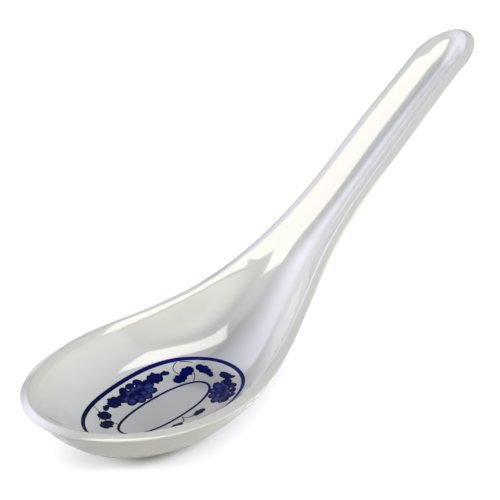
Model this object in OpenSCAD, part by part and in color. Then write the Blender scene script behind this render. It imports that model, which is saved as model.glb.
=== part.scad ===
// Chinese soup spoon: one glossy white moulding with a blue printed border in its bowl.
// The origin is on the flat base, under the widest place of the bowl.
// +X runs along the handle, +Y across the bowl and +Z up. Everything is in millimetres.

/* [Overall] */
// Length seen from above, from the tip of the bowl to the end of the handle
spoon_length = 140; // [125:1:160]
// Thickness of the wall, measured across the rim
wall = 2.6; // [2:0.1:3.2]
// Rounding of the rim's inner edge
rim_inner_round = 1.4; // [0.8:0.1:1.6]
// Rounding of the rim's outer edge
rim_outer_round = 0.4; // [0.2:0.1:0.9]
// How much lower the rim's outer edge is than its inner edge
rim_fall = 1; // [0.4:0.1:1.4]
// Depth of the flat base, cut into the rounded underside
base_cut = 0.4; // [0.2:0.05:0.8]
// Extra thickness of the heel, which carries the flat base back under the spoon's weight
heel_thickness = 2.4; // [1.6:0.1:3]
// Distance behind the widest place at which the heel starts
heel_start = 4; // [2:0.5:8]
// Distance behind the widest place at which the heel ends
heel_end = 49; // [44:0.5:54]

/* [Bowl] */
// Width of the bowl across its rim
bowl_width = 49.2; // [44:0.2:54]
// Distance from the tip of the bowl to its widest place
bowl_front = 32.8; // [28:0.2:38]
// Depth of the bowl, from its rim to its floor
bowl_depth = 11.5; // [9:0.2:14]
// How much higher the rim is at the tip of the bowl than at its sides
tip_lift = 3.2; // [0:0.1:5]
// Distance behind the widest place at which the rim starts to rise to the tip
tip_lift_from = 24; // [10:1:30]

/* [Handle] */
// Distance from the widest place of the bowl to the narrowest place of the neck
neck_distance = 71.4; // [62:0.2:78]
// Width of the neck across its rim
neck_width = 16; // [13:0.2:20]
// Width of the handle near its end
handle_width = 14.9; // [12:0.1:20]
// Length of the rounded end of the handle
end_round = 9.9; // [7:0.1:14]
// How much higher the rim is at the end of the handle than at the bowl
handle_rise = 43.2; // [30:0.2:56]
// How much the last part of the handle bends back down from its straight line
handle_droop = 1.5; // [0:0.1:3]
// Length of the handle over which it bends back down
droop_length = 45; // [30:1:60]
// Distance behind the widest place at which the rim starts to rise
rise_start = 2.3; // [0:0.1:12]
// Distance behind the widest place at which the rise is straight
rise_end = 53; // [42:1:64]
// Depth of the channel along the handle
channel_depth = 3.3; // [2.4:0.1:4.5]
// Distance behind the widest place at which the floor starts to climb to the channel
throat_start = 18; // [14:0.5:24]
// Distance behind the widest place at which the channel has its own depth
throat_end = 52; // [44:0.5:58]

/* [Print] */
// Length of the oval outer line, along its middle
outer_oval_length = 41.4; // [36:0.2:44]
// Width of the oval outer line, along its middle
outer_oval_width = 25.7; // [22:0.1:28]
// Length of the oval inner line, along its middle
inner_oval_length = 26.3; // [22:0.1:30]
// Width of the oval inner line, along its middle
inner_oval_width = 9.7; // [8:0.1:12]
// Distance of the print's middle behind the widest place of the bowl
print_middle = 2.5; // [0:0.1:4]
// Width of the outer line
outer_line_width = 0.75; // [0.4:0.05:1.1]
// Width of the inner line
inner_line_width = 0.4; // [0.2:0.05:0.6]
// Clearance between a bloom and the two lines
bloom_gap = 0.3; // [0.2:0.1:1]
// Width of the curled tendrils
tendril_width = 0.2; // [0.12:0.02:0.3]
// How far the clear film reaches past the outer line
film_margin = 0.6; // [0.3:0.1:1.2]
// Distance between the film's rings of points, small enough to follow the floor
film_cell = 2.1; // [1.5:0.1:2.2]
// Thickness of the clear film
film_thickness = 0.06; // [0.04:0.01:0.1]
// Thickness of the ink
ink_thickness = 0.06; // [0.04:0.01:0.1]
// Clearance under the film and under the ink
print_clearance = 0.04; // [0.03:0.01:0.06]

/* [Hidden] */

// Shares that give the moulding its curves
shoulder_share = 1.3;
neck_bend_share = 0.2;
bowl_flat_share = 0.74;
bowl_lip_share = 0.09;
bowl_lip_from_share = 0.82;
channel_lip_share = 0.13;
channel_lip_from_share = 0.5;
fan_share = 0.3;
end_blend_share = 0.6;
first_ring_share = 0.06;
base_ring_share = 0.25;
probe_share = 0.02;
oval_round_share = 0.91;
blunt_share = 0.05;
leaf_round_share = 0.6;
bloom_spread_share = 0.075;
bloom_shape_share = 0.67;
normal_step_share = 0.01;

// Middle of each bloom: angle round the oval, share of the border's width, 1 or -1 for its mirror image,
// and how far it leans
bloom_shares = [[90, 0.48, 1, 0], [-41, 0.47, 1, 10], [-139, 0.47, -1, -10]];

// Petals, heart and leaves of a bloom: turn round its middle, inner and outer reach, and width,
// as shares of half its length and half its height
petal_shares = [
    [-34, 0.48, 1, 0.45], [-72, 0.41, 0.92, 0.5], [-108, 0.41, 0.92, 0.5], [-146, 0.48, 1, 0.45],
    [3, 0.47, 0.97, 0.34], [177, 0.47, 0.97, 0.34], [44, 0.38, 0.68, 0.41], [90, 0.32, 0.64, 0.5],
    [136, 0.38, 0.68, 0.41]
];
heart_shares = [[90, -0.36, 0.24, 0.3], [12, 0.13, 0.4, 0.29], [168, 0.13, 0.4, 0.29]];
bloom_leaf_shares = [
    [28, 0.77, 1.04, 0.38], [66, 0.75, 1, 0.54], [114, 0.75, 1, 0.54], [152, 0.77, 1.06, 0.38]
];

// Leaves, buds and tendrils: angle and share at both ends, bow as a share of the length,
// and width as a share of the border's width, there or at the sides, whichever is the narrower.
// Each also has its mirror image
sprig_shares = [
    [76, 0.66, 64.5, 0.58, 0.1, 0.25], [63.5, 0.7, 59.5, 0.66, 0.2, 0.13],
    [45, 0.68, 36.5, 0.6, 0.1, 0.25], [54, 0.38, 43.5, 0.3, 0.1, 0.24],
    [36, 0.86, 21, 0.68, 0.12, 0.25], [18, 0.62, 11, 0.52, 0.1, 0.2],
    [-83, 0.36, -74, 0.36, 0.1, 0.14]
];
bud_shares = [
    [-13, 0.68, -8, 0.9, -0.1, 0.16], [-10, 0.6, -3, 0.69, 0.1, 0.18], [-10, 0.43, -2, 0.45, 0.2, 0.14]
];
tendril_shares = [
    [49, 0.9, 46.5, 0.52, -0.7], [34, 0.52, 30, 0.08, 0.2], [43, 0.9, 38.5, 0.87, 0.1],
    [-89, 0.08, -85, 0.32, -0.3]
];

// Numbers of steps along and across the moulding
front_steps = 12;
middle_steps = 42;
end_steps = 8;
inner_steps = 18;
round_steps = 3;
outer_steps = 12;
crowding = 1.3;
search_turns = 20;
film_turns = 64;
outer_line_turns = 96;
inner_line_turns = 64;
leaf_steps = 6;
tendril_steps = 10;

// Places that follow from the sizes
end_at = spoon_length - bowl_front;
end_round_at = end_at - end_round;
fan_reach = fan_share * bowl_front;
end_blend = end_blend_share * end_round;
floor_over_base = wall - base_cut;
bowl_rim = floor_over_base + bowl_depth;
handle_slope = (handle_rise + handle_droop) / (end_at - (rise_start + rise_end) / 2);
droop_slope = handle_droop / bend(end_at, end_at - droop_length, end_at);
tip_slope = tip_lift / bend(bowl_front, -tip_lift_from, bowl_front);
last = front_steps + middle_steps + end_steps;
around = 2 * last;
film_rings = ceil(outer_oval_length / 2 / film_cell);

// Smooth step from 0 to 1, level at both ends
function ease(u) =
    let (c = min(max(u, 0), 1))
    c * c * c * (10 - 15 * c + 6 * c * c);

// A line that is level before a, bends, and climbs at slope 1 after b
function bend(x, a, b) =
    let (w = b - a, c = min(max((x - a) / w, 0), 1))
    x > b ? x - (a + b) / 2 : w * c * c * c * c * (2.5 - 3 * c + c * c);

// Falls from 1 to 0, level at both ends, with the bends that it is told at its ends
function fall(u, first_bend, last_bend) =
    1 - u * u * u * (10 - 15 * u + 6 * u * u)
    + first_bend * u * u * (1 - u) * (1 - u) * (1 - u) / 2
    + last_bend * u * u * u * (1 - u) * (1 - u) / 2;

// Half width of the outline at x, drawn in by an inset
function half_width(x, inset) =
    let (
        front = bowl_front - inset,
        bowl = bowl_width / 2 - inset,
        neck = neck_width / 2 - inset,
        grip = handle_width / 2 - inset,
        tip = max(-x / front, 0),
        past = max(x - end_round_at, 0) / (end_round - inset),
        bulge = -shoulder_share * bowl / (bowl - neck) * pow(neck_distance / front, 2)
    )
    x < 0 ? bowl * sqrt(max(1 - tip * tip, 0))
    : x < neck_distance ? neck + (bowl - neck) * fall(x / neck_distance, bulge, neck_bend_share)
    : (neck + (grip - neck) * ease((x - neck_distance) / (end_round_at - neck_distance)))
        * sqrt(max(1 - past * past, 0));

// Height of the rim's inner edge, without and with the lift at the tip
function side_rim(x) =
    bowl_rim + handle_slope * bend(x, rise_start, rise_end)
    - droop_slope * bend(x, end_at - droop_length, end_at);
function rim_height(x) = side_rim(x) + tip_slope * bend(-x, -tip_lift_from, bowl_front);

// Height of the floor and of the underside along the middle
function throat(x) = ease((x - throat_start) / (throat_end - throat_start));
function floor_height(x) =
    side_rim(x) - bowl_depth + (bowl_depth - channel_depth) * throat(x);
function under_height(x) =
    let (slope = handle_slope * ease((x - rise_start) / (rise_end - rise_start)))
    floor_height(x) - wall * sqrt(1 + slope * slope);
function heel(x) =
    let (u = min(max((x - heel_start) / (heel_end - heel_start), 0), 1))
    heel_thickness * pow(4 * u * (1 - u), 3);

// The line that the section's points are drawn out from
function spine(x) =
    bend(x, -fan_reach, fan_reach) - bend(x, end_round_at - end_blend, end_round_at + end_blend);

// Climb of the wall from the floor, 0, to the rim, 1. Its lip leans outwards again
function between(a, b, share) = a + (b - a) * share;
function climb(v, x) =
    let (
        share = throat(x),
        flat = between(bowl_flat_share, 0, share),
        lip = between(bowl_lip_share, channel_lip_share, share),
        lip_from = between(bowl_lip_from_share, channel_lip_from_share, share),
        lean = max(v - lip_from, 0) / (1 - lip_from)
    )
    (v * v * (1 - flat + flat * v * v) - lip * pow(lean, 3)) / (1 - lip);

// Place of a station along the rim, from the tip, 0, to the handle's end
function station(i, inset) =
    i < front_steps ? -(bowl_front - inset) * cos(90 * i / front_steps)
    : i < front_steps + middle_steps ? end_round_at * pow((i - front_steps) / middle_steps, crowding)
    : end_round_at + (end_round - inset) * sin(90 * (i - front_steps - middle_steps) / end_steps);

// Points of the inside and of the underside, from the middle, 0, to the rim, 1
function inside(i, v) =
    let (rim_x = station(i, wall), s = spine(rim_x), x = s + (rim_x - s) * v)
    [x, half_width(rim_x, wall) * v,
        floor_height(x) + (rim_height(rim_x) - floor_height(rim_x)) * climb(v, rim_x)];
function outside(i, v) =
    let (
        rim_x = station(i, 0),
        s = spine(rim_x),
        x = s + (rim_x - s) * v,
        edge = rim_height(station(i, wall)) - rim_fall
    )
    [x, half_width(rim_x, 0) * v,
        under_height(x) - heel(x) * pow(1 - v * v, 3)
            + (edge - under_height(rim_x)) * climb(v, rim_x)];

// Share of the way out at which the underside comes up through a level just below the base
function base_ring(i, low, high, turns) =
    let (mid = (low + high) / 2)
    turns == 0 ? low
    : outside(i, mid)[2] < -base_ring_share * base_cut ? base_ring(i, mid, high, turns - 1)
    : base_ring(i, low, mid, turns - 1);

// A rounded corner: u runs from 0 to 1 along a curve that starts at a and ends at b
function corner(a, c, b, u) = (1 - u) * (1 - u) * a + 2 * u * (1 - u) * c + u * u * b;

// The closed section at one station: inside, rounded rim and underside
function section(i) =
    let (
        near = 1 - probe_share,
        c = inside(i, 1),
        d = outside(i, 1),
        across = (d - c) / norm(d - c),
        inner_end = 1 - probe_share * rim_inner_round / norm(c - inside(i, near)),
        outer_end = 1 - probe_share * rim_outer_round / norm(d - outside(i, near)),
        base = base_ring(i, first_ring_share, outer_end, search_turns)
    )
    concat(
        [for (k = [0:inner_steps])
            inside(i, first_ring_share + (inner_end - first_ring_share) * k / inner_steps)],
        [for (k = [1:round_steps])
            corner(inside(i, inner_end), c, c + across * rim_inner_round, k / round_steps)],
        [for (k = [0:round_steps])
            corner(d - across * rim_outer_round, d, outside(i, outer_end), k / round_steps)],
        [for (k = [1:outer_steps])
            outside(i, outer_end + (base - outer_end) * k / outer_steps)]
    );

// Triangles of a flat or nearly flat face with four corners
function two(a, b, c, d) = [[a, b, c], [a, c, d]];

// Triangles between two closed rows of points, split alike on both sides of the spoon
function band(first, second) = [
    for (j = [0:around - 1])
        let (k = (j + 1) % around)
        each j < last
            ? two(first + j, second + j, second + k, first + k)
            : two(second + j, second + k, first + k, first + j)
];

// Faces that close a row of points across the middle of the spoon
function middle_strip(first) = [
    for (i = [0:last - 1])
        i == 0 ? [first, first + 1, first + around - 1]
        : i == last - 1 ? [first + i, first + last, first + around - i]
        : [first + i, first + i + 1, first + around - i - 1, first + around - i]
];
function turned(faces) = [for (f = faces) [for (n = [len(f) - 1:-1:0]) f[n]]];

module spoon_body() {
    sections = [for (i = [0:last]) section(i)];
    rings = len(sections[0]);
    points = [
        for (r = [0:rings - 1], j = [0:around - 1])
            let (p = sections[j <= last ? j : around - j][r])
            [p[0], j % last == 0 ? 0 : j < last ? p[1] : -p[1], p[2]]
    ];
    faces = concat(
        [for (r = [0:rings - 2]) each band(r * around, (r + 1) * around)],
        middle_strip(0),
        turned(middle_strip((rings - 1) * around))
    );
    color("white")
    difference() {
        polyhedron(points, faces);
        translate([-spoon_length, -spoon_length, -spoon_length])
            cube([2 * spoon_length, 2 * spoon_length, spoon_length]);
    }
}

// Height of the bowl's floor at a place seen from above
function rim_station(x, y, low, high, turns) =
    let (mid = (low + high) / 2, s = spine(mid))
    turns == 0 ? mid
    : s + (mid - s) * y / half_width(mid, wall) < x ? rim_station(x, y, mid, high, turns - 1)
    : rim_station(x, y, low, mid, turns - 1);
function floor_at(p) =
    let (
        y = abs(p[1]),
        rim_x = rim_station(p[0], y, wall - bowl_front, neck_distance, search_turns),
        s = spine(rim_x),
        half = half_width(rim_x, wall),
        v = s - rim_x > half ? (s - p[0]) / (s - rim_x) : y / half
    )
    floor_height(p[0]) + (rim_height(rim_x) - floor_height(rim_x)) * climb(v, rim_x);

// A place in the border: angle round the oval, and share of the way from the inner to the outer line
function rounded(value) = sign(value) * pow(abs(value), oval_round_share);
function place(angle, share) =
    let (
        length = inner_oval_length + (outer_oval_length - inner_oval_length) * share,
        width = inner_oval_width + (outer_oval_width - inner_oval_width) * share
    )
    [print_middle + length / 2 * rounded(cos(angle)), width / 2 * rounded(sin(angle))];
function border_width(angle) = norm(place(angle, 1) - place(angle, 0));
function direction(angle) = [cos(angle), sin(angle)];

// Heights of the layers of the print over the bowl's floor
film_lift = print_clearance;
ink_lift = film_lift + film_thickness + print_clearance;

module decal_film() {
    reach = [outer_oval_length, outer_oval_width] / 2 + [film_margin, film_margin];
    plan = [
        [print_middle, 0],
        for (ring = [1:film_rings], turn = [0:film_turns - 1])
            let (angle = 360 * turn / film_turns, share = ring / film_rings)
            [print_middle + share * reach[0] * rounded(cos(angle)), share * reach[1] * rounded(sin(angle))]
    ];
    count = len(plan);
    heights = [for (p = plan) floor_at(p) + film_lift];
    points = [
        for (level = [0, film_thickness], n = [0:count - 1])
            [plan[n][0], plan[n][1], heights[n] + level]
    ];
    sheet = [
        for (turn = [0:film_turns - 1])
            let (a = 1 + turn, b = 1 + (turn + 1) % film_turns)
            each concat([[0, b, a]], [for (ring = [0:film_rings - 2])
                let (in = ring * film_turns, out = in + film_turns)
                each two(a + in, b + in, b + out, a + out)])
    ];
    rim = 1 + (film_rings - 1) * film_turns;
    edge = [
        for (turn = [0:film_turns - 1])
            let (a = rim + turn, b = rim + (turn + 1) % film_turns)
            each two(a, b, b + count, a + count)
    ];
    color("ghostwhite")
    polyhedron(points, concat(turned(sheet), [for (f = sheet) [for (n = f) n + count]], turned(edge)));
}

// One row across a curved strip: its left and its right edge at share t of the way from a to b
function row(a, c, b, t, width) =
    let (
        p = corner(a, c, b, t),
        way = (1 - t) * (c - a) + t * (b - c),
        left = [-way[1], way[0]] * width / norm(way) / 2
    )
    [p + left, p - left];

// The bent middle of a strip between two places, bowed to its left
function bowed(a, b, bow) = (a + b) / 2 + bow * [a[1] - b[1], b[0] - a[0]];

// A leaf or petal, widest in its middle and blunt at its ends
function leaf(a, b, bow, width) = [
    for (k = [0:leaf_steps])
        let (t = blunt_share + (1 - 2 * blunt_share) * k / leaf_steps)
        row(a, bowed(a, b, bow), b, t, width * pow(sin(180 * t), leaf_round_share))
];
function tendril(a, b, bow) =
    [for (k = [0:tendril_steps]) row(a, bowed(a, b, bow), b, k / tendril_steps, tendril_width)];

// Places given in shares, and their mirror images
function turned_to(angle, side) = side > 0 ? angle : 180 - angle;
function start(shares, side) = place(turned_to(shares[0], side), shares[1]);
function end(shares, side) = place(turned_to(shares[2], side), shares[3]);
function both_leaves(table) = [
    for (shares = table, side = [1, -1])
        leaf(start(shares, side), end(shares, side), side * shares[4],
            shares[5] * min(border_width(shares[0]), border_width(90)))
];

// Direction straight across the border, from the inner to the outer line
function outward(angle) =
    let (
        step = 360 * normal_step_share,
        way = place(angle + step, 0.5) - place(angle - step, 0.5)
    )
    [way[1], -way[0]] / norm(way);

// Half the height of a bloom, which fills the border between the two lines, and half its length
function bloom_rise(bloom) =
    let (height = (place(bloom[0], 1) - place(bloom[0], 0)) * outward(bloom[0]))
    (height - (outer_line_width + inner_line_width) / 2) / 2 - bloom_gap;
bloom_spread = bloom_spread_share * (outer_oval_length + outer_oval_width);

// Size that a bloom's petals take their width from, so that they fit between each other both ways
function petal_size(bloom) = min(bloom_rise(bloom), bloom_shape_share * bloom_spread);

// A place in a bloom, at a turn and a reach from its middle, its up side turned to the outer line
function bloom_place(bloom, turn, reach) =
    let (
        out = outward(bloom[0]),
        lean = direction(bloom[3]),
        up = [out[0] * lean[0] - out[1] * lean[1], out[0] * lean[1] + out[1] * lean[0]],
        along = [up[1], -up[0]],
        way = reach * direction(turned_to(turn, bloom[2]))
    )
    place(bloom[0], bloom[1]) + way[0] * bloom_spread * along + way[1] * bloom_rise(bloom) * up;
function in_blooms(table) = [
    for (bloom = bloom_shares, shares = table)
        leaf(bloom_place(bloom, shares[0], shares[1]), bloom_place(bloom, shares[0], shares[2]), 0,
            shares[3] * petal_size(bloom))
];

// Points and triangles of one thin strip of ink. Each row is its left and its right edge
function strip_points(rows, lift) = [
    for (r = rows, level = [0, ink_thickness], p = r) [p[0], p[1], floor_at(p) + lift + level]
];
function strip_faces(base, rows, closed) = concat(
    [for (i = [0:rows - (closed ? 1 : 2)])
        let (a = base + 4 * i, b = base + 4 * ((i + 1) % rows))
        each concat(
            two(a + 2, b + 2, b + 3, a + 3),
            two(a, a + 1, b + 1, b),
            two(b + 2, a + 2, a, b),
            two(a + 3, b + 3, b + 1, a + 1)
        )],
    closed ? [] : let (b = base + 4 * (rows - 1))
        concat(two(base + 2, base + 3, base + 1, base), two(b + 3, b + 2, b, b + 1))
);

// Separate strips of ink that all have as many rows
module ink(strips, ink_colour, closed = false) {
    rows = len(strips[0]);
    color(ink_colour)
    polyhedron(
        [for (rows = strips) each strip_points(rows, ink_lift)],
        [for (n = [0:len(strips) - 1]) each strip_faces(4 * rows * n, rows, closed)]
    );
}

// An oval line through the places at one share of the border's width
module oval_line(share, turns, width) {
    ink([[
        for (turn = [0:turns - 1])
            let (angle = 360 * turn / turns, step = 180 / turns)
            row(place(angle - step, share), place(angle, share), place(angle + step, share), 0.5, width)
    ]], "navy", true);
}

module outer_line() {
    oval_line(1, outer_line_turns, outer_line_width);
}

module inner_line() {
    oval_line(0, inner_line_turns, inner_line_width);
}

module bloom_petals() {
    ink(in_blooms(petal_shares), "royalblue");
}

module bloom_hearts() {
    ink(in_blooms(heart_shares), "navy");
}

module bloom_leaves() {
    ink(in_blooms(bloom_leaf_shares), "navy");
}

module bud_petals() {
    ink(both_leaves(bud_shares), "mediumblue");
}

module sprig_leaves() {
    ink(both_leaves(sprig_shares), "navy");
}

module tendrils() {
    ink([for (shares = tendril_shares, side = [1, -1])
        tendril(start(shares, side), end(shares, side), side * shares[4])], "slateblue");
}

spoon_body();
decal_film();
outer_line();
inner_line();
bloom_petals();
bloom_hearts();
bloom_leaves();
bud_petals();
sprig_leaves();
tendrils();
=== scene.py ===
"""Chinese soup spoon: a glossy white moulding with a blue printed border in its bowl.

The spoon lies along X, with its flat base at the origin and its handle towards +X. Shapes are worked
out in millimetres and become meshes in metres.
"""
import math

import bmesh
import bpy
import numpy as np
from mathutils import Matrix, Vector


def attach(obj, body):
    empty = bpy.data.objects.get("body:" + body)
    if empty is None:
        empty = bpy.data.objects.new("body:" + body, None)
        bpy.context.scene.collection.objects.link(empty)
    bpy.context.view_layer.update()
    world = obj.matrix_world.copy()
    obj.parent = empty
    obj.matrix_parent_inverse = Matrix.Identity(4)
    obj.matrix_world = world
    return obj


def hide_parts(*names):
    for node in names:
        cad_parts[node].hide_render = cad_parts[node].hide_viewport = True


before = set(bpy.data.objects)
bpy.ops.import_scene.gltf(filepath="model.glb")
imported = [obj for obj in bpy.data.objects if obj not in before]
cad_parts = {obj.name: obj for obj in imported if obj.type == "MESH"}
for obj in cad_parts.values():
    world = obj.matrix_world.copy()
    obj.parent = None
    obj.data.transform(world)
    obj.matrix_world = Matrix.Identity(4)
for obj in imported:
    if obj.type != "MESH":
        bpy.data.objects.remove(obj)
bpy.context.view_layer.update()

MM = 0.001

# Sizes of the moulding in millimetres, as in the model that the frame was packed from
SPOON_LENGTH = 140
WALL = 2.6
RIM_OUTER_ROUND = 0.4
RIM_FALL = 1
BASE_CUT = 0.4
HEEL_THICKNESS = 2.4
HEEL_START = 4
HEEL_END = 49
BOWL_WIDTH = 49.2
BOWL_FRONT = 32.8
BOWL_DEPTH = 11.5
TIP_LIFT = 3.2
TIP_LIFT_FROM = 24
NECK_DISTANCE = 71.4
NECK_WIDTH = 16
HANDLE_WIDTH = 14.9
END_ROUND = 9.9
HANDLE_RISE = 43.2
HANDLE_DROOP = 1.5
DROOP_LENGTH = 45
RISE_START = 2.3
RISE_END = 53
CHANNEL_DEPTH = 3.3
THROAT_START = 18
THROAT_END = 52

# The sloping lip inside the rim, in millimetres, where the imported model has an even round. It mirrors
# the softbox as one bright band from the bowl to the handle's end.
LIP_ON_RIM = 0.6
LIP_ON_RIM_LEAST = 0.45
LIP_ON_WALL_MOST = 3
LIP_ROUND = 0.4

# Fall of the lip for each millimetre inwards
LIP_SLOPE = 0.68

# Small round at the edge of the flat base, in millimetres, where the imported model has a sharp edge
BASE_ROUND = 0.12

# Scale that keeps the moulding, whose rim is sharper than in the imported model, inside that model's box
DRAWN_IN = 0.9992

# Sizes of the print in millimetres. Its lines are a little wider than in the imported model.
OUTER_OVAL = (41.4, 25.7)
INNER_OVAL = (26.3, 9.7)
PRINT_MIDDLE = 2.5
OUTER_LINE_WIDTH = 0.9
INNER_LINE_WIDTH = 0.62
BLOOM_GAP = 0.3
TENDRIL_WIDTH = 0.2
FILM_MARGIN = 0.6

# Shares that give the moulding and the ovals their curves
SHOULDER = 1.3
NECK_BEND = 0.2
BOWL_FLAT = 0.74
BOWL_LIP = 0.09
BOWL_LIP_FROM = 0.82
CHANNEL_LIP = 0.13
CHANNEL_LIP_FROM = 0.5
FAN = 0.3
END_BLEND = 0.6
OVAL_ROUND = 0.91

# Share of the way in from the rim at which the slope of a wall is felt, and the least half width
PROBE = 0.02
LEAST_HALF = 1e-9

# Steps of the fine mesh, and how close its points come, in metres, before they are joined
FRONT_STEPS = 44
MIDDLE_STEPS = 150
END_STEPS = 30
INNER_STEPS = 60
ROUND_STEPS = 6
RIM_STEPS = 3
OUTER_STEPS = 48
CROWDING = 1.3
SEARCH_TURNS = 34
JOINED_WITHIN = 2e-7

# Places that follow from the sizes
END_AT = SPOON_LENGTH - BOWL_FRONT
END_ROUND_AT = END_AT - END_ROUND
FLOOR_OVER_BASE = WALL - BASE_CUT
BOWL_RIM = FLOOR_OVER_BASE + BOWL_DEPTH


def ease(u):
    """0 before 0 and 1 after 1, with a smooth rise between them."""
    c = np.clip(u, 0, 1)
    return c ** 3 * (10 - 15 * c + 6 * c * c)


def bend(x, a, b):
    """A line that is level before a, bends, and climbs at slope 1 after b."""
    c = np.clip((x - a) / (b - a), 0, 1)
    return np.where(x > b, x - (a + b) / 2, (b - a) * c ** 4 * (2.5 - 3 * c + c * c))


# Slopes of the rim: along the handle, what its end droops by, and up to the tip of the bowl
HANDLE_SLOPE = (HANDLE_RISE + HANDLE_DROOP) / (END_AT - (RISE_START + RISE_END) / 2)
DROOP_SLOPE = HANDLE_DROOP / bend(END_AT, END_AT - DROOP_LENGTH, END_AT)
TIP_SLOPE = TIP_LIFT / bend(BOWL_FRONT, -TIP_LIFT_FROM, BOWL_FRONT)


def half_width(x, inset):
    """Half width of the outline at x, drawn in by an inset."""
    front = BOWL_FRONT - inset
    bowl = BOWL_WIDTH / 2 - inset
    neck = NECK_WIDTH / 2 - inset
    grip = HANDLE_WIDTH / 2 - inset
    tip = np.clip(-x / front, 0, 1)
    u = np.clip(x / NECK_DISTANCE, 0, 1)
    past = np.clip((x - END_ROUND_AT) / (END_ROUND - inset), 0, 1)
    bulge = -SHOULDER * bowl / (bowl - neck) * (NECK_DISTANCE / front) ** 2
    fall = (
        1 - u ** 3 * (10 - 15 * u + 6 * u * u)
        + bulge * u ** 2 * (1 - u) ** 3 / 2
        + NECK_BEND * u ** 3 * (1 - u) ** 2 / 2
    )
    flare = ease((x - NECK_DISTANCE) / (END_ROUND_AT - NECK_DISTANCE))
    handle = (neck + (grip - neck) * flare) * np.sqrt(1 - past ** 2)
    behind_tip = np.where(x < NECK_DISTANCE, neck + (bowl - neck) * fall, handle)
    return np.where(x < 0, bowl * np.sqrt(1 - tip ** 2), behind_tip)


def side_rim(x):
    """Height of the rim at x, without the lift of the bowl's tip."""
    return (
        BOWL_RIM + HANDLE_SLOPE * bend(x, RISE_START, RISE_END)
        - DROOP_SLOPE * bend(x, END_AT - DROOP_LENGTH, END_AT)
    )


def rim_height(x):
    """Height of the rim at x."""
    return side_rim(x) + TIP_SLOPE * bend(-x, -TIP_LIFT_FROM, BOWL_FRONT)


def throat(x):
    """0 in the bowl and 1 in the handle's channel."""
    return ease((x - THROAT_START) / (THROAT_END - THROAT_START))


def floor_height(x):
    """Height of the middle of the bowl's floor, the throat and the channel."""
    return side_rim(x) - BOWL_DEPTH + (BOWL_DEPTH - CHANNEL_DEPTH) * throat(x)


def under_height(x):
    """Height of the middle of the underside, a wall's thickness below the floor."""
    slope = HANDLE_SLOPE * ease((x - RISE_START) / (RISE_END - RISE_START))
    return floor_height(x) - WALL * np.sqrt(1 + slope * slope)


def heel(x):
    """Extra thickness under the back of the bowl, on which the spoon rests."""
    u = np.clip((x - HEEL_START) / (HEEL_END - HEEL_START), 0, 1)
    return HEEL_THICKNESS * (4 * u * (1 - u)) ** 3


def spine(x):
    """Place on the middle line that the wall below the rim at x runs to, fanned at both ends."""
    reach = FAN * BOWL_FRONT
    blend = END_BLEND * END_ROUND
    return bend(x, -reach, reach) - bend(x, END_ROUND_AT - blend, END_ROUND_AT + blend)


def climb(v, x):
    """Climb of the wall from the floor, 0, to the rim, 1, leaning outwards again at its lip."""
    share = throat(x)
    flat = BOWL_FLAT * (1 - share)
    lip = BOWL_LIP + (CHANNEL_LIP - BOWL_LIP) * share
    lip_from = BOWL_LIP_FROM + (CHANNEL_LIP_FROM - BOWL_LIP_FROM) * share
    lean = np.maximum((v - lip_from) / (1 - lip_from), 0)
    return (v * v * (1 - flat + flat * v * v) - lip * lean ** 3) / (1 - lip)


def stations(inset):
    """Places along the rim from the tip of the bowl to the handle's end."""
    front = -(BOWL_FRONT - inset) * np.cos(np.pi / 2 * np.arange(FRONT_STEPS) / FRONT_STEPS)
    middle = END_ROUND_AT * (np.arange(MIDDLE_STEPS) / MIDDLE_STEPS) ** CROWDING
    turns = np.pi / 2 * np.arange(END_STEPS + 1) / END_STEPS
    return np.concatenate([front, middle, END_ROUND_AT + (END_ROUND - inset) * np.sin(turns)])


def inside(v):
    """Points of one ring on the inside, at a share v of the way from the floor's middle to the rim."""
    rim_x = stations(WALL)
    s = spine(rim_x)
    x = s + (rim_x - s) * v
    z = floor_height(x) + (rim_height(rim_x) - floor_height(rim_x)) * climb(v, rim_x)
    return np.stack([x, half_width(rim_x, WALL) * v, z], 1)


def outside(v):
    """Points of one ring on the outside, at a share v of the way from the base to the rim."""
    rim_x = stations(0)
    s = spine(rim_x)
    x = s + (rim_x - s) * v
    edge = rim_height(stations(WALL)) - RIM_FALL
    z = (
        under_height(x) - heel(x) * (1 - v * v) ** 3
        + (edge - under_height(rim_x)) * climb(v, rim_x)
    )
    return np.stack([x, half_width(rim_x, 0) * v, settle(z)], 1)


def settle(z):
    """Flattens what lies under the base, with a small round at its edge."""
    c = np.clip((z + BASE_ROUND) / (2 * BASE_ROUND), 0, 1)
    return np.where(z > BASE_ROUND, z, BASE_ROUND * c * c)


def corner(a, c, b, u):
    """Point at a share u along the curve from a to b that is drawn towards the corner c."""
    return (1 - u) ** 2 * a + 2 * u * (1 - u) * c + u * u * b


def length_of(rows):
    """Length of each row, as a column."""
    return np.linalg.norm(rows, axis=1, keepdims=True)


def lip_widths(down, across):
    """How far the sloping lip inside the rim reaches down the wall and out along the rim."""
    wall = down / length_of(down)
    wall_run = np.hypot(wall[:, 0], wall[:, 1])
    rim_run = np.hypot(across[:, 0], across[:, 1])
    steeper = np.maximum(-wall[:, 2] - LIP_SLOPE * wall_run, PROBE)
    ratio = (LIP_SLOPE * rim_run - across[:, 2]) / steeper
    on_wall = np.minimum(LIP_ON_RIM * ratio, LIP_ON_WALL_MOST)
    return on_wall, np.maximum(on_wall / ratio, LIP_ON_RIM_LEAST)


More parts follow.
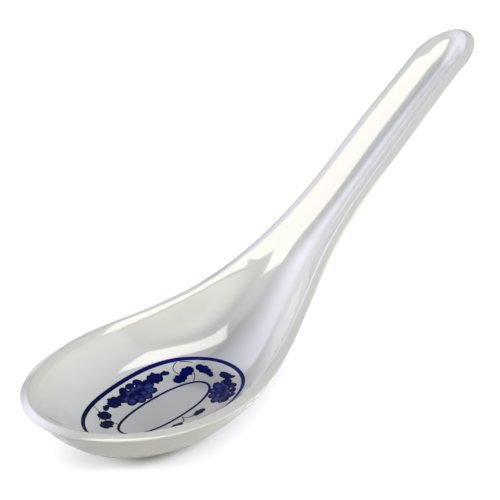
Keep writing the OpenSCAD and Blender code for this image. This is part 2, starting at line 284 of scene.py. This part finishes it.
def body_rings():
    """Rings of points from the middle of the inside, over the rim, to the middle of the underside."""
    c = inside(1)
    d = outside(1)
    across = (d - c) / length_of(d - c)
    near = 1 - PROBE
    share_of_mm = PROBE / length_of(c - inside(near))[:, 0]
    on_wall, on_rim = lip_widths(inside(near) - c, across)
    inner_end = 1 - share_of_mm * (on_wall + LIP_ROUND)
    knee = inside(1 - share_of_mm * on_wall)
    brow = c + across * on_rim[:, None]
    lip = (brow - knee) / length_of(brow - knee) * LIP_ROUND
    outer_end = 1 - PROBE * RIM_OUTER_ROUND / length_of(d - outside(near))[:, 0]
    rim_start = brow + across * LIP_ROUND
    rim_stop = d - across * RIM_OUTER_ROUND
    wall_end, skirt = inside(inner_end), outside(outer_end)
    turns = [k / ROUND_STEPS for k in range(ROUND_STEPS + 1)]
    rings = [inside(inner_end * k / INNER_STEPS) for k in range(INNER_STEPS + 1)]
    rings += [corner(wall_end, knee, knee + lip, turn) for turn in turns[1:]]
    rings += [corner(brow - lip, brow, rim_start, turn) for turn in turns]
    rings += [rim_start + (rim_stop - rim_start) * k / RIM_STEPS for k in range(1, RIM_STEPS)]
    rings += [corner(rim_stop, d, skirt, turn) for turn in turns]
    rings += [outside(outer_end * (1 - k / OUTER_STEPS)) for k in range(1, OUTER_STEPS + 1)]
    return np.array(rings)


def mesh_object(name, points, faces):
    """A smooth mesh in the scene, from points in millimetres."""
    mesh = bpy.data.meshes.new(name)
    mesh.from_pydata((np.asarray(points) * MM).tolist(), [], faces)
    mesh.update()
    mesh.shade_smooth()
    piece = bpy.data.objects.new(name, mesh)
    bpy.context.scene.collection.objects.link(piece)
    return piece


def merge_close(mesh, distance):
    """Joins points that lie on each other and drops the faces that this leaves without area."""
    work = bmesh.new()
    work.from_mesh(mesh)
    bmesh.ops.remove_doubles(work, verts=work.verts, dist=distance)
    bmesh.ops.dissolve_degenerate(work, edges=work.edges, dist=distance)
    bmesh.ops.recalc_face_normals(work, faces=work.faces)
    work.to_mesh(mesh)
    work.free()


def make_body():
    """The whole moulding: one closed skin from half rings and their mirror images."""
    rings = body_rings()
    count, last = rings.shape[0], rings.shape[1] - 1
    mirrored = rings[:, last - 1:0:-1] * [1, -1, 1]
    loops = np.concatenate([rings, mirrored], 1)
    around = loops.shape[1]
    faces = []
    for r in range(count - 1):
        for j in range(around):
            k = (j + 1) % around
            faces.append((r * around + j, r * around + k, (r + 1) * around + k, (r + 1) * around + j))
    body = mesh_object("spoon_moulding", loops.reshape(-1, 3) * DRAWN_IN, faces)
    merge_close(body.data, JOINED_WITHIN)
    body.data.shade_smooth()
    return body


body = make_body()
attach(body, "root")
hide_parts("spoon_body")


def floor_at(plan):
    """Height of the bowl's floor at places seen from above."""
    x, y = plan[:, 0], np.abs(plan[:, 1])
    low = np.full(len(x), WALL - BOWL_FRONT, float)
    high = np.full(len(x), NECK_DISTANCE, float)
    for _ in range(SEARCH_TURNS):
        mid = (low + high) / 2
        s = spine(mid)
        before = s + (mid - s) * y / np.maximum(half_width(mid, WALL), LEAST_HALF) < x
        low = np.where(before, mid, low)
        high = np.where(before, high, mid)
    rim_x = (low + high) / 2
    s = spine(rim_x)
    half = np.maximum(half_width(rim_x, WALL), LEAST_HALF)
    in_front = s - rim_x > half
    v = np.where(in_front, (s - x) / np.where(in_front, s - rim_x, 1), y / half)
    return floor_height(x) + (rim_height(rim_x) - floor_height(rim_x)) * climb(v, rim_x)


# The print is given as angles round the oval and shares of the way from its inner to its outer line.
# Middle of each bloom: angle, share, 1 or -1 for its mirror image, and how far it leans in degrees
BLOOMS = [(90, 0.46, 1, 0), (-42.5, 0.43, 1, 10), (-137.5, 0.43, -1, -10)]

# Petals, heart and leaves of a bloom: turn round its middle, inner and outer reach, and width.
# Later ones lie on top of earlier ones.
PETALS = [
    (3, 0.3, 1.04, 0.62), (177, 0.3, 1.04, 0.62), (-34, 0.3, 1.06, 0.72), (-146, 0.3, 1.06, 0.72),
    (-72, 0.28, 1.03, 0.74), (-108, 0.28, 1.03, 0.74), (44, 0.16, 0.72, 0.6), (136, 0.16, 0.72, 0.6),
    (90, 0.12, 0.68, 0.62), (-50, 0.05, 0.6, 0.5), (-130, 0.05, 0.6, 0.5), (-90, 0.02, 0.56, 0.5),
]
HEARTS = [(12, 0.04, 0.5, 0.36), (168, 0.04, 0.5, 0.36), (90, -0.34, 0.32, 0.36), (-90, 0.1, 0.44, 0.2)]
BLOOM_LEAVES = [
    (20, 0.6, 1.08, 0.62), (160, 0.6, 1.1, 0.62), (54, 0.52, 1.06, 0.82), (126, 0.52, 1.06, 0.82),
    (90, 0.5, 1.02, 0.76),
]

# Leaves and buds: angle and share at both ends, bow, and width. Tendrils have no width of their own.
SPRIGS = [
    (78, 0.66, 64, 0.56, 0.1, 0.4), (66, 0.66, 57.5, 0.6, 0.3, 0.17),
    (102, 0.66, 116, 0.56, -0.1, 0.4), (114, 0.66, 122.5, 0.6, -0.3, 0.17),
    (47, 0.38, 35, 0.68, 0.05, 0.34), (56, 0.2, 41, 0.37, 0.1, 0.34),
    (33, 0.74, 10, 0.44, 0.12, 0.3), (17, 0.54, 3, 0.32, 0.1, 0.18),
    (136, 0.62, 123, 0.48, 0, 0.38), (155.5, 0.48, 137, 0.28, 0, 0.36),
    (-85, 0.35, -72, 0.36, 0.1, 0.22), (-95, 0.35, -108, 0.36, -0.1, 0.22),
]
BUDS = [
    (0, 0.56, -19, 0.86, -0.25, 0.2), (1, 0.62, -21, 0.56, 0.3, 0.22), (-6, 0.62, -15, 0.72, 0, 0.2),
    (180, 0.56, 199, 0.86, 0.25, 0.2), (179, 0.62, 201, 0.56, -0.3, 0.22),
    (186, 0.62, 195, 0.72, 0, 0.2),
]
TENDRILS = [
    (50, 0.93, 47.5, 0.46, -0.7), (34, 0.52, 30, 0.06, 0.2), (47, 0.92, 36, 0.86, 0.12),
    (122, 0.95, 139, 0.6, 0.35), (124, 0.5, 146, 0.03, -0.35),
    (-90, 0.06, -85, 0.32, -0.3), (-87, 0.3, -80, 0.36, 0.2),
    (-90, 0.06, -95, 0.32, 0.3), (-93, 0.3, -100, 0.36, -0.2),
]

# Shares that give blooms and leaves their shape
BLOOM_SPREAD = 0.075
BLOOM_SHAPE = 0.67
LEAF_ENDS = 0.05
LEAF_ROUND = 0.6
LOBE_DEPTH = 0.13
SPRIG_LOBES = 3

# Degrees to both sides over which the way across the border, and along a line, is felt
NORMAL_STEP = 3.6
LINE_STEP = 0.5

# Heights of the printed layers over the floor of the bowl, in millimetres. Each strip of ink is lifted
# a little over the one before, from none again after a number of lifts. INK_SHOULDER is the share by
# which the ink's edges are lower than its middle.
INK_BOTTOM = -0.03
INK_TOP = 0.035
INK_LIFT = 0.0025
HEART_LIFT = 0.03
FILM_BOTTOM = -0.03
FILM_TOP = 0.012
FILM_EDGE = -0.012
LIFTS = 12
INK_SHOULDER = 0.45

# Steps of the print's mesh
LEAF_STEPS = 22
LEAF_ACROSS = 8
LINE_ACROSS = 4
TENDRIL_STEPS = 24
OVAL_STEPS = 360
FILM_RINGS = 40
FILM_TURNS = 180


def rounded(value):
    """Turns a sine or cosine of an ellipse into that of a slightly fuller oval."""
    return np.sign(value) * np.abs(value) ** OVAL_ROUND


def place(angle, share):
    """Place seen from above, at an angle round the oval and a share of the border's width."""
    length, width = (i + (o - i) * share for i, o in zip(INNER_OVAL, OUTER_OVAL))
    turn = np.radians(angle)
    x = PRINT_MIDDLE + length / 2 * rounded(np.cos(turn))
    return np.array([x, width / 2 * rounded(np.sin(turn))])


def border_width(angle):
    """Distance between the two oval lines."""
    return np.linalg.norm(place(angle, 1) - place(angle, 0))


def outward(angle):
    """The way from the inner line to the outer one."""
    way = place(angle + NORMAL_STEP, 0.5) - place(angle - NORMAL_STEP, 0.5)
    return np.array([way[1], -way[0]]) / np.linalg.norm(way)


def bloom_rise(bloom):
    """How far a bloom may reach towards either line."""
    height = (place(bloom[0], 1) - place(bloom[0], 0)) @ outward(bloom[0])
    return (height - (OUTER_LINE_WIDTH + INNER_LINE_WIDTH) / 2) / 2 - BLOOM_GAP


def bloom_place(bloom, turn, reach):
    """Place in a bloom, by the turn round its middle and the reach from it."""
    lean = math.radians(bloom[3])
    x, y = outward(bloom[0])
    up = np.array([x * math.cos(lean) - y * math.sin(lean), x * math.sin(lean) + y * math.cos(lean)])
    along = np.array([up[1], -up[0]])
    way = math.radians(turn if bloom[2] > 0 else 180 - turn)
    spread = BLOOM_SPREAD * sum(OUTER_OVAL)
    return (
        place(bloom[0], bloom[1]) + reach * math.cos(way) * spread * along
        + reach * math.sin(way) * bloom_rise(bloom) * up
    )


def strip_rows(a, c, b, widths, shares):
    """Middle and half width of a strip, for each share of the way along its bent middle line."""
    rows = []
    for t, width in zip(shares, widths):
        p = corner(a, c, b, t)
        way = (1 - t) * (c - a) + t * (b - c)
        side = np.array([-way[1], way[0]]) * width / np.linalg.norm(way) / 2
        rows.append((p, side))
    return rows


def bowed(a, b, bow):
    """The corner that gives the line from a to b its bow."""
    return (a + b) / 2 + bow * np.array([a[1] - b[1], b[0] - a[0]])


def leaf(a, b, bow, width, lobes=0):
    """A round-ended leaf, whose outline swells into a number of lobes along it."""
    shares = LEAF_ENDS + (1 - 2 * LEAF_ENDS) * np.arange(LEAF_STEPS + 1) / LEAF_STEPS
    swell = 1 + LOBE_DEPTH * np.cos(2 * np.pi * lobes * (shares - 0.5)) * (lobes > 0)
    widths = width * swell * np.sin(np.pi * shares) ** LEAF_ROUND
    return strip_rows(a, bowed(a, b, bow), b, widths, shares)


def tendril(a, b, bow):
    """A thin curl of even width."""
    shares = np.arange(TENDRIL_STEPS + 1) / TENDRIL_STEPS
    return strip_rows(a, bowed(a, b, bow), b, np.full(len(shares), TENDRIL_WIDTH), shares)


def leaves_of(table, lobes):
    """The leaves or buds of a table."""
    leaves = []
    for shares in table:
        width = shares[5] * min(border_width(shares[0]), border_width(90))
        a, b = place(*shares[:2]), place(*shares[2:4])
        leaves.append(leaf(a, b, shares[4], width, lobes))
    return leaves


def in_blooms(table):
    """The petals, hearts or leaves of a table, in every bloom."""
    leaves = []
    for bloom in BLOOMS:
        size = min(bloom_rise(bloom), BLOOM_SHAPE * BLOOM_SPREAD * sum(OUTER_OVAL))
        for turn, inner, outer, width in table:
            a, b = bloom_place(bloom, turn, inner), bloom_place(bloom, turn, outer)
            leaves.append(leaf(a, b, 0, width * size))
    return leaves


def oval_line(share, width):
    """A closed line round the oval."""
    turns = 360 * np.arange(OVAL_STEPS) / OVAL_STEPS
    rows = []
    for turn in turns:
        way = place(turn + LINE_STEP, share) - place(turn - LINE_STEP, share)
        side = np.array([-way[1], way[0]]) * width / np.linalg.norm(way) / 2
        rows.append((place(turn, share), side))
    return rows


def ink_section(middle, side, across, lift):
    """Places, levels and shares across one section: the ink's upper side, then its two lower edges."""
    shares = [1 - 2 * k / across for k in range(across + 1)] + [1, -1]
    levels = [INK_TOP * (1 - INK_SHOULDER * (k in (0, across))) + lift for k in range(across + 1)]
    return [middle + side * share for share in shares], levels + [INK_BOTTOM, INK_BOTTOM], shares


def strip_faces(start, count, across, closed):
    """Faces round the sections of one strip of ink, with end faces unless it closes on itself."""
    ring = list(range(across + 1)) + [across + 2, across + 1]
    size = len(ring)
    faces = []
    for i in range(count if closed else count - 1):
        a, b = start + i * size, start + (i + 1) % count * size
        for m in range(size):
            n = (m + 1) % size
            faces.append((a + ring[m], a + ring[n], b + ring[n], b + ring[m]))
    if not closed:
        faces.append(tuple(start + m for m in reversed(ring)))
        faces.append(tuple(start + (count - 1) * size + m for m in ring))
    return faces


def ink_piece(name, strips, across, closed, node, raised=0):
    """One piece of thin closed islands of ink that follow the floor of the bowl."""
    plans, levels, along, aside, faces = [], [], [], [], []
    for index, strip in enumerate(strips):
        lift = raised + INK_LIFT * (index % LIFTS)
        faces += strip_faces(len(plans), len(strip), across, closed)
        for i, (middle, side) in enumerate(strip):
            places, heights, shares = ink_section(middle, side, across, lift)
            plans += places
            levels += heights
            aside += shares
            along += [i / (len(strip) - 1)] * len(places)
    plans = np.array(plans)
    points = np.column_stack([plans, floor_at(plans) + levels])
    piece = mesh_object(name, points, faces)
    for label, values in (("along", along), ("aside", aside)):
        piece.data.attributes.new(label, "FLOAT", "POINT").data.foreach_set("value", values)
    piece.data.shade_flat()
    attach(piece, "root")
    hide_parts(node)
    return piece


def make_film():
    """The clear overlay that carries the print, with its edge let into the floor."""
    reach = [side / 2 + FILM_MARGIN for side in OUTER_OVAL]
    plan, levels = [(PRINT_MIDDLE, 0.0)], [FILM_TOP]
    for ring in range(1, FILM_RINGS + 1):
        share = ring / FILM_RINGS
        for turn in range(FILM_TURNS):
            angle = 2 * math.pi * turn / FILM_TURNS
            x = PRINT_MIDDLE + share * reach[0] * rounded(np.cos(angle))
            plan.append((x, share * reach[1] * rounded(np.sin(angle))))
            levels.append(FILM_TOP if ring < FILM_RINGS else FILM_EDGE)
    plan = np.array(plan, float)
    heights = floor_at(plan)
    count = len(plan)
    top = np.column_stack([plan, heights + levels])
    bottom = np.column_stack([plan, heights + FILM_BOTTOM])
    sheet = []
    for turn in range(FILM_TURNS):
        a, b = 1 + turn, 1 + (turn + 1) % FILM_TURNS
        sheet.append((0, a, b))
        for ring in range(FILM_RINGS - 1):
            i, o = ring * FILM_TURNS, (ring + 1) * FILM_TURNS
            sheet.append((a + i, a + o, b + o, b + i))
    rim = (FILM_RINGS - 1) * FILM_TURNS
    faces = list(sheet) + [tuple(count + n for n in reversed(face)) for face in sheet]
    for turn in range(FILM_TURNS):
        a, b = 1 + turn + rim, 1 + (turn + 1) % FILM_TURNS + rim
        faces.append((a, a + count, b + count, b))
    film = mesh_object("clear_overlay", np.concatenate([top, bottom]), faces)
    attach(film, "root")
    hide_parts("decal_film")
    return film


film = make_film()
outer_line = ink_piece(
    "border_outer_line", [oval_line(1, OUTER_LINE_WIDTH)], LINE_ACROSS, True, "outer_line"
)
inner_line = ink_piece(
    "border_inner_line", [oval_line(0, INNER_LINE_WIDTH)], LINE_ACROSS, True, "inner_line"
)
petals = ink_piece("blue_petals", in_blooms(PETALS), LEAF_ACROSS, False, "bloom_petals")
hearts = ink_piece(
    "dark_hearts", in_blooms(HEARTS), LEAF_ACROSS, False, "bloom_hearts", HEART_LIFT
)
calyx = ink_piece(
    "calyx_leaves", in_blooms(BLOOM_LEAVES), LEAF_ACROSS, False, "bloom_leaves"
)
buds = ink_piece("small_buds", leaves_of(BUDS, 0), LEAF_ACROSS, False, "bud_petals")
sprigs = ink_piece(
    "scroll_leaves", leaves_of(SPRIGS, SPRIG_LOBES), LEAF_ACROSS, False, "sprig_leaves"
)
curl_strips = [tendril(place(*row[:2]), place(*row[2:4]), row[4]) for row in TENDRILS]
curls = ink_piece("thin_curls", curl_strips, LINE_ACROSS, False, "tendrils")


# White melamine: its colour, how that drifts in faint clouds, its gloss and its trace of orange peel.
# Each noise has a scale and a detail.
WHITE = (0.72, 0.72, 0.712)
WARM_DRIFT = (1.0, 0.99, 0.965)
COOL_DRIFT = (0.985, 0.99, 1.0)
CLOUDS = (45, 3)
CLOUD_RANGE = (0.3, 0.7)
SPECKLE = (700, 2)
WHITE_ROUGH = 0.03
WHITE_ROUGH_SPREAD = 0.03
WHITE_IOR = 1.6
PEEL = (160, 1)
PEEL_STRENGTH = 0.03
PEEL_DEPTH = 0.0002

# Blue inks: their colours, the grain of the print, its veins and its dull gloss
NAVY = (0.002, 0.003, 0.075)
COBALT = (0.005, 0.008, 0.18)
PALE_BLUE = (0.06, 0.085, 0.4)
INK_GRAIN = (900, 3)
GRAIN_IN_TONE = 0.5
TONE_RANGE = (0.25, 0.8)
VEIN_SHARPNESS = 5.0
VEIN_TONE = 0.85
INK_ROUGH = 0.1
INK_ROUGH_SPREAD = 0.06
INK_IOR = 1.5
INK_SPECULAR = 0.03

# Where the print is thickest and thinnest along the bowl, and its brightness where it is thickest
INK_THICK_AT = -15
INK_THIN_AT = 18
INK_THICK = 0.3


def new_material(name):
    """A material with its node tree and its shader."""
    material = bpy.data.materials.new(name)
    material.use_nodes = True
    tree = material.node_tree
    return material, tree, tree.nodes["Principled BSDF"]


def noise(tree, grain, coordinates):
    """Noise from a pair of a scale and a detail."""
    node = tree.nodes.new("ShaderNodeTexNoise")
    node.inputs["Scale"].default_value = grain[0]
    node.inputs["Detail"].default_value = grain[1]
    tree.links.new(coordinates, node.inputs["Vector"])
    return node.outputs["Fac"]


def ramp(tree, source, stops):
    """Colour that runs through stops of a position and a colour."""
    node = tree.nodes.new("ShaderNodeValToRGB")
    while len(node.color_ramp.elements) < len(stops):
        node.color_ramp.elements.new(0.5)
    for element, (position, colour) in zip(node.color_ramp.elements, stops):
        element.position = position
        element.color = (*colour, 1)
    tree.links.new(source, node.inputs["Fac"])
    return node.outputs["Color"]


def maths(tree, operation, *values):
    """Result of a Math node on numbers and sockets."""
    node = tree.nodes.new("ShaderNodeMath")
    node.operation = operation
    for socket, value in zip(node.inputs, values):
        if isinstance(value, (int, float)):
            socket.default_value = value
        else:
            tree.links.new(value, socket)
    return node.outputs["Value"]


def object_coordinates(tree):
    """Places in metres, in the part's own frame."""
    return tree.nodes.new("ShaderNodeTexCoord").outputs["Object"]


def attribute(tree, name):
    """A named value of the mesh's points."""
    node = tree.nodes.new("ShaderNodeAttribute")
    node.attribute_name = name
    return node.outputs["Fac"]


def bump(tree, shader, height, strength, distance):
    """Fine relief on a shader."""
    node = tree.nodes.new("ShaderNodeBump")
    node.inputs["Strength"].default_value = strength
    node.inputs["Distance"].default_value = distance
    tree.links.new(height, node.inputs["Height"])
    tree.links.new(node.outputs["Normal"], shader.inputs["Normal"])


def tinted(colour, drift):
    """A colour that drifts a little in each channel."""
    return tuple(c * k for c, k in zip(colour, drift))


def glossy_white(name):
    """White melamine: a hard gloss with very faint clouding and a trace of orange peel."""
    material, tree, shader = new_material(name)
    where = object_coordinates(tree)
    clouds = noise(tree, CLOUDS, where)
    stops = zip(CLOUD_RANGE, (tinted(WHITE, WARM_DRIFT), tinted(WHITE, COOL_DRIFT)))
    tree.links.new(ramp(tree, clouds, list(stops)), shader.inputs["Base Color"])
    speckle = noise(tree, SPECKLE, where)
    rough = maths(tree, "MULTIPLY_ADD", speckle, WHITE_ROUGH_SPREAD, WHITE_ROUGH)
    tree.links.new(rough, shader.inputs["Roughness"])
    shader.inputs["IOR"].default_value = WHITE_IOR
    bump(tree, shader, noise(tree, PEEL, where), PEEL_STRENGTH, PEEL_DEPTH)
    return material


def ink_thinness(tree, where):
    """Brightness of the print along the bowl, from where it is thickest to where it is thinnest."""
    parts = tree.nodes.new("ShaderNodeSeparateXYZ")
    tree.links.new(where, parts.inputs["Vector"])
    node = tree.nodes.new("ShaderNodeMapRange")
    tree.links.new(parts.outputs["X"], node.inputs["Value"])
    for socket, value in zip(node.inputs[1:5], (INK_THICK_AT * MM, INK_THIN_AT * MM, INK_THICK, 1)):
        socket.default_value = value
    return node.outputs["Result"]


def printed(name, middle, edge, veins):
    """Blue ink under gloss: darker towards its outline, a little uneven like a transfer print."""
    material, tree, shader = new_material(name)
    where = object_coordinates(tree)
    aside = attribute(tree, "aside")
    along = attribute(tree, "along")
    grain = noise(tree, INK_GRAIN, where)
    side = maths(tree, "ABSOLUTE", aside)
    tip = maths(tree, "ABSOLUTE", maths(tree, "MULTIPLY_ADD", along, 2.0, -1.0))
    rim = maths(tree, "MAXIMUM", side, tip)
    if veins:
        vein = maths(tree, "SUBTRACT", 1.0, maths(tree, "MULTIPLY", side, VEIN_SHARPNESS))
        rim = maths(tree, "MAXIMUM", rim, maths(tree, "MULTIPLY", vein, VEIN_TONE))
    drift = maths(tree, "MULTIPLY_ADD", grain, GRAIN_IN_TONE, -GRAIN_IN_TONE / 2)
    tone = maths(tree, "ADD", rim, drift)
    colour = tree.nodes.new("ShaderNodeVectorMath")
    colour.operation = "SCALE"
    tree.links.new(ramp(tree, tone, list(zip(TONE_RANGE, (middle, edge)))), colour.inputs["Vector"])
    tree.links.new(ink_thinness(tree, where), colour.inputs["Scale"])
    tree.links.new(colour.outputs["Vector"], shader.inputs["Base Color"])
    rough = maths(tree, "MULTIPLY_ADD", grain, INK_ROUGH_SPREAD, INK_ROUGH)
    tree.links.new(rough, shader.inputs["Roughness"])
    shader.inputs["IOR"].default_value = INK_IOR
    shader.inputs["Specular IOR Level"].default_value = INK_SPECULAR
    return material


body.data.materials.append(glossy_white("white_melamine"))
film.data.materials.append(glossy_white("clear_gloss"))
line_ink = printed("line_ink", NAVY, COBALT, False)
leaf_ink = printed("leaf_ink", COBALT, NAVY, True)
petal_ink = printed("petal_ink", PALE_BLUE, NAVY, False)
bud_ink = printed("bud_ink", COBALT, NAVY, False)
curl_ink = printed("curl_ink", COBALT, COBALT, False)
for piece, ink in (
    (outer_line, line_ink), (inner_line, line_ink), (petals, petal_ink), (hearts, leaf_ink),
    (calyx, leaf_ink), (buds, bud_ink), (sprigs, leaf_ink), (curls, curl_ink),
):
    piece.data.materials.append(ink)


# Floor: its size and how far it lies under the base, in metres, its tone as it is seen and as it throws
# light back, and the strength and spread in degrees of the light that falls on it alone
FLOOR_SIZE = 6
FLOOR_DROP = 0.00005
FLOOR_PALE = 0.85
FLOOR_BOUNCE = 0.06
FLOOR_LIGHT = 0.95
FLOOR_LIGHT_SPREAD = 100

# Strength of the white world as it lights things. It is 1 as it is seen.
AMBIENT = 0.02


def background_share(tree):
    """1 where the camera, a mirror image or a see-through ray looks, and 0 for light on things."""
    path = tree.nodes.new("ShaderNodeLightPath")
    seen = maths(tree, "MAXIMUM", path.outputs["Is Camera Ray"], path.outputs["Is Glossy Ray"])
    return maths(tree, "MAXIMUM", seen, path.outputs["Is Transmission Ray"])


def make_floor():
    """A pale floor that keeps the spoon's shadow and throws little light back under it."""
    half = FLOOR_SIZE / 2
    corners = [(-half, -half, 0), (half, -half, 0), (half, half, 0), (-half, half, 0)]
    mesh = bpy.data.meshes.new("floor")
    mesh.from_pydata(corners, [], [(0, 1, 2, 3)])
    floor = bpy.data.objects.new("floor", mesh)
    floor.location.z = -FLOOR_DROP
    bpy.context.scene.collection.objects.link(floor)
    material, tree, shader = new_material("pale_floor")
    seen = background_share(tree)
    tone = maths(tree, "MULTIPLY_ADD", seen, FLOOR_PALE - FLOOR_BOUNCE, FLOOR_BOUNCE)
    tree.links.new(tone, shader.inputs["Base Color"])
    shader.inputs["Roughness"].default_value = 1
    shader.inputs["Specular IOR Level"].default_value = 0
    mesh.materials.append(material)
    return floor


def light_floor(floor):
    """A broad light from above on the floor alone, which turns white but keeps the spoon's shadow."""
    data = bpy.data.lights.new("floor_light", "SUN")
    data.energy = FLOOR_LIGHT * math.pi
    data.angle = math.radians(FLOOR_LIGHT_SPREAD)
    lamp = bpy.data.objects.new("floor_light", data)
    bpy.context.scene.collection.objects.link(lamp)
    lit = bpy.data.collections.new("lit_by_floor_light")
    lit.objects.link(floor)
    lamp.light_linking.receiver_collection = lit


def make_world():
    """A world that looks white but hardly lights the spoon."""
    world = bpy.data.worlds.new("studio")
    bpy.context.scene.world = world
    world.use_nodes = True
    tree = world.node_tree
    background = tree.nodes["Background"]
    background.inputs["Color"].default_value = (1, 1, 1, 1)
    strength = maths(tree, "MULTIPLY_ADD", background_share(tree), 1 - AMBIENT, AMBIENT)
    tree.links.new(strength, background.inputs["Strength"])


# Softbox over the spoon, in millimetres and degrees: its image is the bright strip along the far wall
SOFTBOX_PLACE = (17.3, -48.2, 199)
SOFTBOX_TURN = 146.5
SOFTBOX = ((212, 84), 6.3, (1, 0.965, 0.86))

# The other lamps and the soft cards stand round this place, at this distance, in millimetres
SPOT = (30, 0, 15)
LAMP_DISTANCE = 600

# Each has a name, a size in millimetres, a radiance, a colour, and an azimuth and elevation in degrees.
# Fills give light but no mirror image. The window and the cards are seen only as mirror images.
FILLS = [
    ("low_front_fill", (400, 220), 5.3, (1, 0.91, 0.6), -10, 12),
    ("top_fill", (400, 220), 9.2, (0.88, 0.92, 1), 15, 35),
    ("left_fill", (450, 220), 13.3, (0.98, 0.97, 1), -143, 15),
]
WINDOW = ("window_image", (90, 70), 4.5, (0.96, 0.98, 1), -122, 38)
CARDS = [
    ("front_sky", (900, 500), 2.6, (0.95, 0.96, 1), -30, 34),
    ("cool_sky", (900, 850), 5.2, (0.785, 0.815, 1), -172, 40),
]


def area_light(name, size_mm, radiance, colour, mirrored=True, lighting=True):
    """A soft rectangular light; its radiance times its area times pi gives its power."""
    data = bpy.data.lights.new(name, "AREA")
    data.shape = "RECTANGLE"
    data.size, data.size_y = (side * MM for side in size_mm)
    data.energy = radiance * data.size * data.size_y * math.pi
    data.color = colour
    lamp = bpy.data.objects.new(name, data)
    bpy.context.scene.collection.objects.link(lamp)
    lamp.visible_camera = False
    lamp.visible_glossy = mirrored
    lamp.visible_diffuse = lighting
    return lamp


def way_to(azimuth, elevation):
    """The way to a place round the spoon, 0 degrees in front of it and 90 degrees along its handle."""
    azimuth, elevation = math.radians(azimuth), math.radians(elevation)
    level = math.cos(elevation)
    return Vector((math.sin(azimuth) * level, -math.cos(azimuth) * level, math.sin(elevation)))


def stand_at(lamp, azimuth, elevation):
    """Stands a lamp or card round the spoon, facing it."""
    way = way_to(azimuth, elevation)
    lamp.location = (Vector(SPOT) + way * LAMP_DISTANCE) * MM
    lamp.rotation_euler = (-way).to_track_quat("-Z", "Y").to_euler()


def soft_card(name, size_mm, radiance, colour):
    """A glowing card that fades towards its edges and is seen only as a mirror image."""
    side, height = (length * MM / 2 for length in size_mm)
    mesh = bpy.data.meshes.new(name)
    corners = [(-side, -height, 0), (side, -height, 0), (side, height, 0), (-side, height, 0)]
    mesh.from_pydata(corners, [], [(0, 1, 2, 3)])
    card = bpy.data.objects.new(name, mesh)
    bpy.context.scene.collection.objects.link(card)
    card.visible_camera = card.visible_diffuse = card.visible_shadow = card.visible_transmission = False
    material, tree, shader = new_material(name)
    parts = tree.nodes.new("ShaderNodeSeparateXYZ")
    tree.links.new(tree.nodes.new("ShaderNodeTexCoord").outputs["Generated"], parts.inputs["Vector"])
    glow = radiance
    for axis in "XY":
        reach = maths(tree, "MULTIPLY_ADD", parts.outputs[axis], 2, -1)
        fade = maths(tree, "SUBTRACT", 1, maths(tree, "MULTIPLY", reach, reach))
        glow = maths(tree, "MULTIPLY", maths(tree, "MULTIPLY", fade, fade), glow)
    shader.inputs["Base Color"].default_value = (0, 0, 0, 1)
    shader.inputs["Specular IOR Level"].default_value = 0
    shader.inputs["Emission Color"].default_value = (*colour, 1)
    tree.links.new(glow, shader.inputs["Emission Strength"])
    mesh.materials.append(material)
    return card


softbox = area_light("softbox_image", *SOFTBOX, lighting=False)
softbox.location = Vector(SOFTBOX_PLACE) * MM
softbox.rotation_euler.z = math.radians(SOFTBOX_TURN)
for *lamp, azimuth, elevation in FILLS:
    stand_at(area_light(*lamp, mirrored=False), azimuth, elevation)
stand_at(area_light(*WINDOW[:4], lighting=False), *WINDOW[4:])
for *card, azimuth, elevation in CARDS:
    stand_at(soft_card(*card), azimuth, elevation)
light_floor(make_floor())
make_world()


# Camera, at the photograph's viewing angle: degrees and millimetres
AZIMUTH = -44.21
ELEVATION = 30.59
ROLL = -3.70
DISTANCE = 695.1
TARGET = (39.59, 7.72, 23.23)
PIXELS_PER_MM = 4.398
FRAME_PIXELS = 500
SENSOR = 36
NEAREST = 0.01
FARTHEST = 10


def make_camera():
    """A camera that looks at the target as the photograph's did."""
    azimuth, roll = math.radians(AZIMUTH), math.radians(ROLL)
    back = way_to(AZIMUTH, ELEVATION)
    right = Vector((math.cos(azimuth), math.sin(azimuth), 0))
    up = back.cross(right)
    across = right * math.cos(roll) + up * math.sin(roll)
    upward = up * math.cos(roll) - right * math.sin(roll)
    data = bpy.data.cameras.new("camera")
    data.sensor_width = SENSOR
    data.lens = SENSOR * PIXELS_PER_MM * DISTANCE / FRAME_PIXELS
    data.clip_start = NEAREST
    data.clip_end = FARTHEST
    camera = bpy.data.objects.new("camera", data)
    bpy.context.scene.collection.objects.link(camera)
    camera.matrix_world = (
        Matrix.Translation((Vector(TARGET) + back * DISTANCE) * MM)
        @ Matrix((across, upward, back)).transposed().to_4x4()
    )
    bpy.context.scene.camera = camera


make_camera()

bpy.context.scene.view_settings.view_transform = "Standard"
